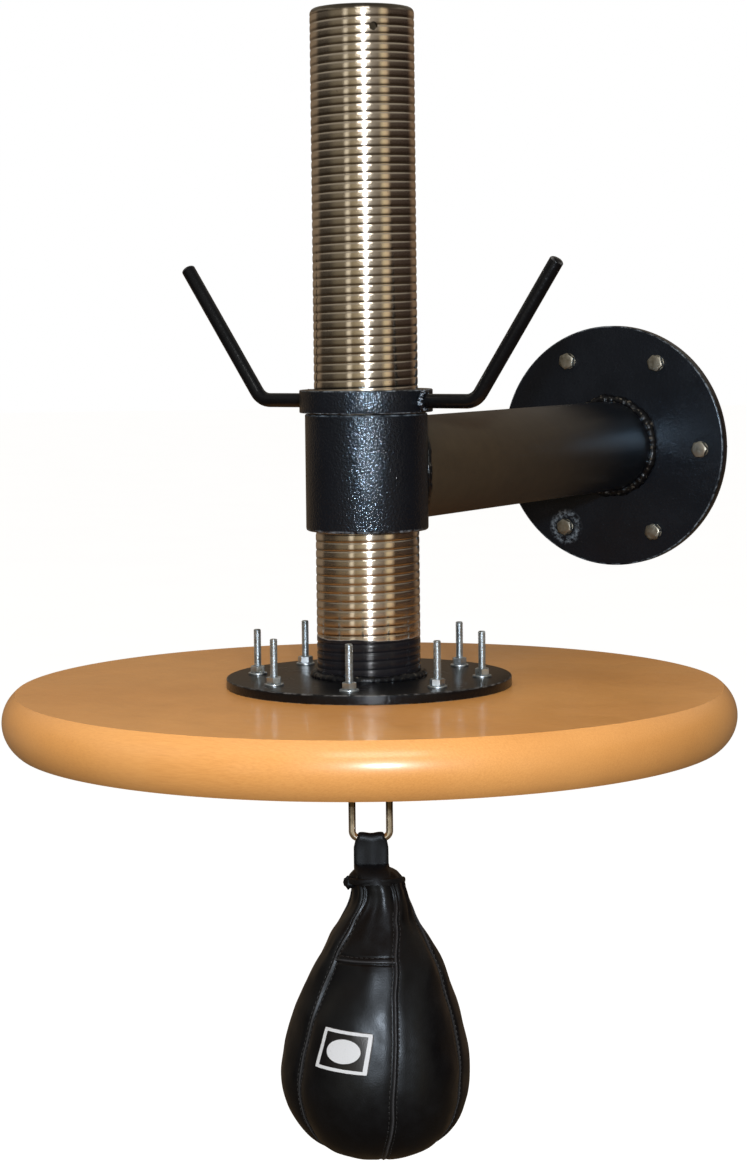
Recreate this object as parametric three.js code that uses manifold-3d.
// Wall-mounted speed bag platform, millimetres, +Z up.
//
// The origin is the centre of the wall flange's back face. +Y points into the wall, so the arm
// runs along -Y to a threaded sleeve. A threaded post screws up and down through the sleeve and
// carries the round board; a lock ring with two handles jams against the sleeve. The bag hangs
// under the board from a swivel: a spinning yoke, a cross and a wire bail.
//
// Screw threads are left as plain cylinders at their crest size.

import * as THREE from 'three';
import { mergeVertices } from 'three/addons/utils/BufferGeometryUtils.js';
import Module from 'manifold-3d';

const wasm = await Module();
wasm.setup();

// ---------------------------------------------------------------- driving dimensions

const GAP = 0.3;                 // clearance between a piece and the neighbour that cuts it
const INCH = 25.4;

const ARM_LENGTH = 500;          // wall face to post axis
const ARM_RADIUS = 44;
const ARM_WALL = 5;
const ARM_ABOVE_BOARD = 178;     // arm axis above the board's top face

const WALL_FLANGE = { radius: 119, thickness: 12, boltCircle: 96, bolts: 6, turn: 1.3 };
const WALL_BOLT = { acrossFlats: 14.3, head: 6.4, shank: 4.8, intoWall: 55, tip: 9 };

const SLEEVE = { radius: 51, bottom: 130, top: 227, chamfer: 2 };
const LOCK_RING = { radius: 55.5, bottom: 228, top: 247, chamfer: 2 };
const THREAD_BORE = 45;          // bore of sleeve and ring around the post's crests
const HANDLE = { radius: 6, corner: 104.5, tip: 180.5, rise: 114, bend: 16, turn: -1.9 };

const POST = { radius: 43.2, bore: 36.5, top: 561, chamfer: 2.5 };
const POST_HOLE = { radius: 3.6, z: 542, turn: -47.5 };
const BASE_FLANGE = { radius: 119, thickness: 8 };
const WELD = 8;                  // leg length of the round fillet welds

const BOARD = { radius: 12 * INCH, thickness: 45, edge: 11, rimSteps: 6 };
const STUDS = { count: 8, circle: 95, turn: 20.15, top: 46 };
const BOLT_RADIUS = INCH / 8;
const BOLT_HEAD = { radius: 7, depth: 4 };
const HOLE_RADIUS = 3.8;
const NUT = { acrossFlats: 11.1, height: 5.6 };
const WASHER = { radius: 15.9 / 2, thickness: 1.6 };

// The swivel's heights are below the board's underside; it is turned about the post axis.
const SWIVEL_TURN = 29.85;
const PLATE = { radius: 38, thickness: 3, screws: 4, screwCircle: 30 };
const HOUSING = { radius: 22, wall: 3, floor: 14, bottom: 17, hole: 9 };
const RACE = { radius: 18, bore: 8, top: 10.5, bottom: 13.7 };
const YOKE = { head: 14, headTop: 5.5, shank: 6.5, neck: 19, ears: 23, width: 12, reach: 12.5 };
const CROSS = { depth: 43.5, half: 6, across: 8, trunnion: 3 };
const BAIL = { radius: 3, spacing: 31.3, bottom: 84, bend: 6, eye: 6 };
const PIVOT_CLEARANCE = 0.45;
const SCREW = { radius: 2, head: 4.2, headHeight: 2.4, length: 22, hole: 2.5 };

const TAB = { loopWidth: 18.4, width: 29, loop: 5, half: 3, flare: 6, bottom: 108.5 };
const COVER_THICKNESS = 2.5;
const BLADDER_THICKNESS = 1.2;
const BAG_MOUTH = 7;             // lacing hole in the top of the cover
const VALVE = { radius: 3.5, bore: 1.2, top: 111, length: 12 };

const ROUND = 48;                // facets of large rounds
const SMALL = 12;                // facets of small rounds

const BOARD_Z = -ARM_ABOVE_BOARD;

// ---------------------------------------------------------------- materials

function material(color, roughness, metalness) {
  return new THREE.MeshStandardMaterial({ color, roughness, metalness });
}

const BLACK_STEEL = () => material(0x101012, 0.35, 0.4);
const BARE_STEEL = () => material(0x9a948c, 0.35, 1);
const ZINC = () => material(0xb4bac4, 0.3, 1);
const WOOD = () => material(0xc98a4b, 0.35, 0);
const LEATHER = () => material(0x141312, 0.45, 0);
const RUBBER = () => material(0x7a2f22, 0.7, 0);

// ---------------------------------------------------------------- shape helpers

const rad = THREE.MathUtils.degToRad;

// A solid of revolution about +Z from [radius, z] pairs listed anticlockwise (outside going up).
function revolve(profile, facets = ROUND) {
  const points = profile.map(([r, z]) => new THREE.Vector2(r, z));
  if (profile[0][0] > 0) points.push(points[0].clone());
  return new THREE.LatheGeometry(points, facets).rotateX(Math.PI / 2);
}

function cylinder(radius, bottom, top, facets = SMALL) {
  return revolve([[0, bottom], [radius, bottom], [radius, top], [0, top]], facets);
}

function tube(radius, bore, bottom, top, chamfer = 0, facets = ROUND) {
  const c = chamfer;
  const outside = c
    ? [[radius - c, bottom], [radius, bottom + c], [radius, top - c], [radius - c, top]]
    : [[radius, bottom], [radius, top]];
  return revolve([[bore, bottom], ...outside, [bore, top]], facets);
}

function box(x, y, z, cx = 0, cy = 0, cz = 0) {
  return new THREE.BoxGeometry(x, y, z).translate(cx, cy, cz);
}

// A cylinder between two points.
function rod(from, to, radius, facets = SMALL) {
  const a = new THREE.Vector3(...from);
  const along = new THREE.Vector3(...to).sub(a);
  const turn = new THREE.Quaternion().setFromUnitVectors(
    new THREE.Vector3(0, 0, 1), along.clone().normalize());
  return cylinder(radius, 0, along.length(), facets).applyQuaternion(turn).translate(...from);
}

// A flat disc with round holes, from z = bottom to z = top.
function drilledDisc(radius, bottom, top, holes) {
  const shape = new THREE.Shape(circle(0, 0, radius, ROUND));
  for (const h of holes) shape.holes.push(new THREE.Path(circle(h.x, h.y, h.r, SMALL)));
  return new THREE.ExtrudeGeometry(shape, { depth: top - bottom, bevelEnabled: false })
    .translate(0, 0, bottom);
}

function circle(x, y, r, facets) {
  return Array.from({ length: facets }, (_, i) => {
    const a = (2 * Math.PI * i) / facets;
    return new THREE.Vector2(x + r * Math.cos(a), y + r * Math.sin(a));
  });
}

function hexagon(acrossFlats) {
  return circle(0, 0, acrossFlats / Math.sqrt(3), 6);
}

function ringOfPoints(count, radius, turn) {
  return Array.from({ length: count }, (_, i) => {
    const a = rad(turn + (360 * i) / count);
    return { x: radius * Math.cos(a), y: radius * Math.sin(a), angle: a };
  });
}

// A path through listed points, sampled exactly at those points.
class Polyline extends THREE.Curve {
  constructor(points) {
    super();
    this.points = points;
  }

  getPoint(t, target = new THREE.Vector3()) {
    const s = t * (this.points.length - 1);
    const i = Math.min(Math.floor(s), this.points.length - 2);
    return target.lerpVectors(this.points[i], this.points[i + 1], s - i);
  }

  getUtoTmapping(u) {
    return u;
  }

  getTangent(t, target = new THREE.Vector3()) {
    const n = this.points.length - 1;
    const i = Math.round(t * n);
    const side = (a, b) => this.points[b].clone().sub(this.points[a]).normalize();
    target.set(0, 0, 0);
    if (i > 0) target.add(side(i - 1, i));
    if (i < n) target.add(side(i, i + 1));
    return target.normalize();
  }
}

// Round bar through corner points, each inner corner rounded to the bend radius.
function bentRod(corners, radius, bend, steps = 4) {
  const p = corners.map((c) => new THREE.Vector3(...c));
  const points = [p[0]];
  for (let i = 1; i < p.length - 1; i++) {
    const back = p[i - 1].clone().sub(p[i]).normalize();
    const on = p[i + 1].clone().sub(p[i]).normalize();
    const half = back.angleTo(on) / 2;
    const reach = bend / Math.tan(half);
    const centre = p[i].clone().addScaledVector(
      back.clone().add(on).normalize(), bend / Math.sin(half));
    const from = p[i].clone().addScaledVector(back, reach).sub(centre);
    const to = p[i].clone().addScaledVector(on, reach).sub(centre);
    const axis = from.clone().cross(to).normalize();
    for (let k = 0; k <= steps; k++) {
      const turned = from.clone().applyAxisAngle(axis, ((Math.PI - 2 * half) * k) / steps);
      points.push(turned.add(centre));
    }
  }
  points.push(p[p.length - 1]);
  const section = new THREE.Shape(circle(0, 0, radius, SMALL));
  return new THREE.ExtrudeGeometry(section, {
    steps: points.length - 1, extrudePath: new Polyline(points), bevelEnabled: false });
}

// ---------------------------------------------------------------- cutting and joining

function toSolid(geometry) {
  const g = geometry.clone();
  g.deleteAttribute('normal');
  g.deleteAttribute('uv');
  const merged = mergeVertices(g, 1e-4);
  return new wasm.Manifold(new wasm.Mesh({
    numProp: 3,
    vertProperties: new Float32Array(merged.attributes.position.array),
    triVerts: new Uint32Array(merged.index.array),
  }));
}

function toGeometry(solid) {
  const mesh = solid.getMesh();
  const g = new THREE.BufferGeometry();
  g.setAttribute('position', new THREE.BufferAttribute(mesh.vertProperties, 3));
  g.setIndex(new THREE.BufferAttribute(mesh.triVerts, 1));
  g.computeVertexNormals();
  return g;
}

function cut(body, tools) {
  return toGeometry(tools.reduce((s, t) => s.subtract(toSolid(t)), toSolid(body)));
}

function join(parts) {
  return toGeometry(parts.slice(1).reduce((s, t) => s.add(toSolid(t)), toSolid(parts[0])));
}

function piece(parent, name, geometry, look) {
  const mesh = new THREE.Mesh(geometry, look);
  mesh.name = name;
  parent.add(mesh);
  return mesh;
}

function group(parent, z = 0, turn = 0) {
  const g = new THREE.Group();
  g.position.z = z;
  g.rotation.z = rad(turn);
  parent.add(g);
  return g;
}

// ---------------------------------------------------------------- bracket

// Fillet weld around a round bar: a triangle standing on z = base, leaning on the bar.
function filletWeld(barRadius, base) {
  const inner = barRadius + GAP;
  return revolve([[inner, base], [inner + WELD, base], [inner, base + WELD]]);
}

// Pieces of the wall end are built along +Z, away from the wall, then laid down along -Y.
function addWallEnd(root) {
  const wall = new THREE.Group();
  wall.rotation.x = Math.PI / 2;
  root.add(wall);
  const f = WALL_FLANGE;
  const places = ringOfPoints(f.bolts, f.boltCircle, -f.turn);
  const holes = places.map(({ x, y }) => ({ x, y, r: WALL_BOLT.shank + 1 }));
  piece(wall, 'wall_flange', drilledDisc(f.radius, 0, f.thickness, holes), BLACK_STEEL());
  piece(wall, 'arm_wall_weld', filletWeld(ARM_RADIUS, f.thickness), BLACK_STEEL());
  places.forEach(({ x, y, angle }, i) => {
    const bolt = piece(wall, `wall_bolt_${i + 1}`, lagBolt(f.thickness), ZINC());
    bolt.position.set(x, y, 0);
    bolt.rotation.z = angle;
  });
  const start = f.thickness;
  const end = ARM_LENGTH;
  const pipe = tube(ARM_RADIUS, ARM_RADIUS - ARM_WALL, start, end);
  const sleeveHole = rod([0, -ARM_RADIUS * 2, end], [0, ARM_RADIUS * 2, end],
    SLEEVE.radius + GAP, ROUND);
  piece(wall, 'arm_tube', cut(pipe, [sleeveHole]), BLACK_STEEL());
}

// Hex-head lag bolt: its head rests on z = seat, its shank runs down into the wall.
function lagBolt(seat) {
  const b = WALL_BOLT;
  const head = new THREE.ExtrudeGeometry(new THREE.Shape(hexagon(b.acrossFlats)),
    { depth: b.head, bevelEnabled: false }).translate(0, 0, seat);
  const shank = revolve([[0, -b.intoWall], [b.shank, -b.intoWall + b.tip],
    [b.shank, seat + b.head / 2], [0, seat + b.head / 2]], SMALL);
  return join([head, shank]);
}

function addSleeve(stack) {
  const s = SLEEVE;
  piece(stack, 'sleeve', tube(s.radius, THREAD_BORE, s.bottom, s.top, s.chamfer), BLACK_STEEL());
}

function addLockRing(stack) {
  const r = LOCK_RING;
  piece(stack, 'lock_ring', tube(r.radius, THREAD_BORE, r.bottom, r.top, r.chamfer),
    BLACK_STEEL());
  const z = (r.bottom + r.top) / 2;
  const corners = [[r.radius + GAP, 0, z], [HANDLE.corner, 0, z],
    [HANDLE.tip, 0, z + HANDLE.rise]];
  ['handle_right', 'handle_left'].forEach((name, i) => {
    const side = group(stack, 0, HANDLE.turn + 180 * i);
    piece(side, name, bentRod(corners, HANDLE.radius, HANDLE.bend), BLACK_STEEL());
  });
}

// ---------------------------------------------------------------- post and board

function addPost(stack) {
  const p = POST;
  const foot = BASE_FLANGE.thickness + GAP;
  const body = revolve([[p.bore, foot], [p.radius, foot], [p.radius, p.top - p.chamfer],
    [p.radius - p.chamfer, p.top], [p.bore, p.top]]);
  const a = rad(POST_HOLE.turn);
  const out = [Math.cos(a) * p.radius * 1.2, Math.sin(a) * p.radius * 1.2, POST_HOLE.z];
  const hole = rod([0, 0, POST_HOLE.z], out, POST_HOLE.radius);
  piece(stack, 'threaded_post', cut(body, [hole]), BARE_STEEL());

  const studHoles = studPlaces().map(({ x, y }) => ({ x, y, r: HOLE_RADIUS }));
  piece(stack, 'base_flange',
    drilledDisc(BASE_FLANGE.radius, 0, BASE_FLANGE.thickness, studHoles), BLACK_STEEL());
  piece(stack, 'post_flange_weld', filletWeld(p.radius, foot), BLACK_STEEL());
}

function studPlaces() {
  return ringOfPoints(STUDS.count, STUDS.circle, STUDS.turn);
}

// The rim is an arc that bulges out between two creases, set in by the edge size.
function boardProfile() {
  const b = BOARD;
  const half = b.thickness / 2;
  const arc = (b.edge ** 2 + half ** 2) / (2 * b.edge);
  const sweep = Math.asin(half / arc);
  const rim = Array.from({ length: b.rimSteps + 1 }, (_, i) => {
    const a = -sweep + (2 * sweep * i) / b.rimSteps;
    return [b.radius - arc + arc * Math.cos(a), -half + arc * Math.sin(a)];
  });
  return [[0, -b.thickness], ...rim, [0, 0]];
}

function addBoard(stack) {
  const under = -BOARD.thickness;
  const head = BOLT_HEAD;
  const clear = 0.5;
  const boltHole = revolve([[0, under - 1], [head.radius + clear + 1, under - 1],
    [HOLE_RADIUS, under + head.depth + clear], [HOLE_RADIUS, 1], [0, 1]], SMALL);
  const screwHole = cylinder(SCREW.hole, under - 1, under + SCREW.length);
  const holes = [
    ...studPlaces().map(({ x, y }) => boltHole.clone().translate(x, y, 0)),
    ...screwPlaces(SWIVEL_TURN).map(({ x, y }) => screwHole.clone().translate(x, y, 0)),
  ];
  piece(stack, 'board', cut(revolve(boardProfile()), holes), WOOD());
}

// Each stud is a countersunk bolt up through the board and the flange, with washer and nut.
function addStuds(stack) {
  const under = -BOARD.thickness;
  const seat = BASE_FLANGE.thickness;
  const bolt = revolve([[0, under], [BOLT_HEAD.radius, under],
    [BOLT_RADIUS, under + BOLT_HEAD.depth], [BOLT_RADIUS, STUDS.top], [0, STUDS.top]], SMALL);
  const washer = new THREE.Shape(circle(0, 0, WASHER.radius, SMALL));
  washer.holes.push(new THREE.Path(circle(0, 0, HOLE_RADIUS, SMALL)));
  const nut = new THREE.Shape(hexagon(NUT.acrossFlats));
  nut.holes.push(new THREE.Path(circle(0, 0, HOLE_RADIUS, SMALL)));
  const plate = (shape, depth) =>
    new THREE.ExtrudeGeometry(shape, { depth, bevelEnabled: false });
  studPlaces().forEach(({ x, y, angle }, i) => {
    const n = i + 1;
    const put = (name, geometry, z) => {
      const mesh = piece(stack, `${name}_${n}`, geometry, ZINC());
      mesh.position.set(x, y, z);
      mesh.rotation.z = angle + i;
    };
    put('board_bolt', bolt, 0);
    put('board_washer', plate(washer, WASHER.thickness), seat);
    put('board_nut', plate(nut, NUT.height), seat + WASHER.thickness);
  });
}

// ---------------------------------------------------------------- swivel

function screwPlaces(turn) {
  return ringOfPoints(PLATE.screws, PLATE.screwCircle, turn + 45);
}

// Local X runs along the bail's bottom bar; heights are below the board's underside.
function addSwivel(swivel) {
  const holes = screwPlaces(0).map(({ x, y }) => ({ x, y, r: SCREW.hole }));
  const t = PLATE.thickness;
  piece(swivel, 'swivel_plate', drilledDisc(PLATE.radius, -t, 0, holes), BARE_STEEL());

  const h = HOUSING;
  const cup = revolve([[h.hole, -h.bottom], [h.radius, -h.bottom], [h.radius, -2 * t],
    [PLATE.radius, -2 * t], [PLATE.radius, -t], [h.radius - h.wall, -t],
    [h.radius - h.wall, -h.floor], [h.hole, -h.floor]]);
  const drills = screwPlaces(0).map(({ x, y }) =>
    cylinder(SCREW.hole, -3 * t, 1).translate(x, y, 0));
  piece(swivel, 'swivel_housing', cut(cup, drills), BARE_STEEL());

  const screw = revolve([[0, -2 * t - SCREW.headHeight], [SCREW.head, -2 * t - SCREW.headHeight / 2],
    [SCREW.head, -2 * t], [SCREW.radius, -2 * t], [SCREW.radius, SCREW.length - 6],
    [0, SCREW.length - 2]], SMALL);
  screwPlaces(0).forEach(({ x, y }, i) => {
    piece(swivel, `swivel_screw_${i + 1}`, screw, ZINC()).position.set(x, y, 0);
  });

  const r = RACE;
  piece(swivel, 'bearing_race',
    revolve([[r.bore, -r.bottom], [r.radius, -r.bottom], [r.radius, -r.top], [r.bore, -r.top]],
      2 * SMALL), BARE_STEEL());
  piece(swivel, 'swivel_yoke', yoke(), BARE_STEEL());
  piece(swivel, 'swivel_cross', cross(), BARE_STEEL());
  piece(swivel, 'bail', bail(), BARE_STEEL());
}

// Headed spindle with a fork: the ears stand on both sides in Y and hold the cross.
function yoke() {
  const y = YOKE;
  const bottom = CROSS.depth + CROSS.half;
  const spindle = revolve([[0, -y.neck - 1], [y.shank, -y.neck - 1], [y.shank, -RACE.top + GAP],
    [y.head, -RACE.top + GAP], [y.head, -y.headTop], [0, -y.headTop]], 2 * SMALL);
  const bridge = box(y.width + 2, 2 * y.reach, y.ears - y.neck, 0, 0, -(y.ears + y.neck) / 2);
  const inner = CROSS.across + GAP;
  const ears = [-1, 1].map((s) => box(y.width, y.reach - inner, bottom - y.ears + 1,
    0, s * (y.reach + inner) / 2, -(bottom + y.ears - 1) / 2));
  const bore = rod([0, -2 * y.reach, -CROSS.depth], [0, 2 * y.reach, -CROSS.depth],
    CROSS.trunnion + PIVOT_CLEARANCE);
  return cut(join([spindle, bridge, ...ears]), [bore]);
}

// Four-armed cross of a universal joint: Y arms turn in the yoke, X arms hold the bail.
function cross() {
  const c = CROSS;
  const reach = BAIL.spacing / 2 + BAIL.radius + GAP;
  return join([
    box(2 * c.half, 2 * c.across, 2 * c.half, 0, 0, -c.depth),
    rod([0, -YOKE.reach, -c.depth], [0, YOKE.reach, -c.depth], c.trunnion),
    rod([-reach, 0, -c.depth], [reach, 0, -c.depth], c.trunnion),
  ]);
}

// U of round wire: an eye at the top of each leg, a straight bar across the bottom.
function bail() {
  const b = BAIL;
  const x = b.spacing / 2;
  const wire = bentRod([[-x, 0, -CROSS.depth], [-x, 0, -b.bottom], [x, 0, -b.bottom],
    [x, 0, -CROSS.depth]], b.radius, b.bend);
  const along = (s, r, over) => rod([s * x - b.radius - over, 0, -CROSS.depth],
    [s * x + b.radius + over, 0, -CROSS.depth], r);
  const eyes = [-1, 1].map((s) => along(s, b.eye, 0));
  const bores = [-1, 1].map((s) => along(s, CROSS.trunnion + PIVOT_CLEARANCE, 1));
  return cut(join([wire, ...eyes]), bores);
}

// ---------------------------------------------------------------- bag

// Leather loop around the bail's bar, its two ends stitched together down to the bag.
function hangTab() {
  const t = TAB;
  const down = t.bottom - BAIL.bottom;
  const shoulder = rad(20);
  const outline = Array.from({ length: SMALL + 1 }, (_, i) => {
    const a = -shoulder + ((Math.PI + 2 * shoulder) * i) / SMALL;
    return new THREE.Vector2(t.loop * Math.cos(a), t.loop * Math.sin(a));
  });
  const shape = new THREE.Shape([new THREE.Vector2(-t.half, -down),
    new THREE.Vector2(t.half, -down), ...outline]);
  shape.holes.push(new THREE.Path(circle(0, 0, BAIL.radius + PIVOT_CLEARANCE, SMALL)));
  const loop = new THREE.ExtrudeGeometry(shape, { depth: t.loopWidth, bevelEnabled: false })
    .translate(0, 0, -t.loopWidth / 2).rotateX(Math.PI / 2).rotateZ(Math.PI / 2);
  const flap = box(t.width, 2 * t.half, down - t.flare, 0, 0, -(down + t.flare) / 2);
  return join([loop, flap]).translate(0, 0, -BAIL.bottom);
}

// Half outline of the bag as radius against depth below the board's underside: a short collar,
// a straight cone, and a round bottom.
function bagOutline(inset) {
  const collar = [[15, 109.5], [22, 110.5], [25.2, 114.5], [25.4, 131.5]];
  const belly = [[30.5, 148.6], [49.1, 185.1], [58.6, 204.6], [66.8, 224.1], [72.6, 243.7],
    [76.6, 263.2], [78.1, 282.7], [75.7, 302.2], [68, 321.7], [56.3, 336.3], [39.7, 346.5],
    [19, 353.8], [0, 355.8]];
  return [...collar, ...belly].map(([r, depth], i, all) => {
    const [pr, pd] = all[Math.max(i - 1, 0)];
    const [nr, nd] = all[Math.min(i + 1, all.length - 1)];
    const length = Math.hypot(nr - pr, nd - pd);
    const last = i === all.length - 1;
    const nx = last ? 0 : (nd - pd) / length;
    const nz = last ? -1 : (nr - pr) / length;
    return [Math.max(r - inset * nx, 0), -(depth + (last ? -inset : inset * nz))];
  });
}

// A thin skin between two insets of the bag's outline, open at the top.
function bagSkin(outerInset, innerInset, mouth, facets) {
  const outer = bagOutline(outerInset).reverse();
  const inner = bagOutline(innerInset);
  const top = outer[outer.length - 1][1];
  return revolve([...outer, [mouth, top], [mouth, inner[0][1]], ...inner], facets);
}

function addBag(hanger) {
  piece(hanger, 'hang_tab', hangTab(), LEATHER());
  const t = COVER_THICKNESS;
  piece(hanger, 'bag_cover', bagSkin(0, t, BAG_MOUTH, 2 * SMALL), LEATHER());
  const skin = t + GAP;
  piece(hanger, 'bag_bladder',
    bagSkin(skin, skin + BLADDER_THICKNESS, VALVE.radius + 1, SMALL), RUBBER());
  const v = VALVE;
  piece(hanger, 'bladder_valve', tube(v.radius, v.bore, -v.top - v.length, -v.top, 0, SMALL),
    RUBBER());
}

// ---------------------------------------------------------------- assembly

const platform = new THREE.Group();
addWallEnd(platform);

const stack = new THREE.Group();     // z = 0 is the board's top face
stack.position.set(0, -ARM_LENGTH, BOARD_Z);
platform.add(stack);
addSleeve(stack);
addLockRing(stack);
addPost(stack);
addBoard(stack);
addStuds(stack);

const hanger = group(stack, -BOARD.thickness, SWIVEL_TURN);
addSwivel(hanger);
addBag(hanger);

export default platform;
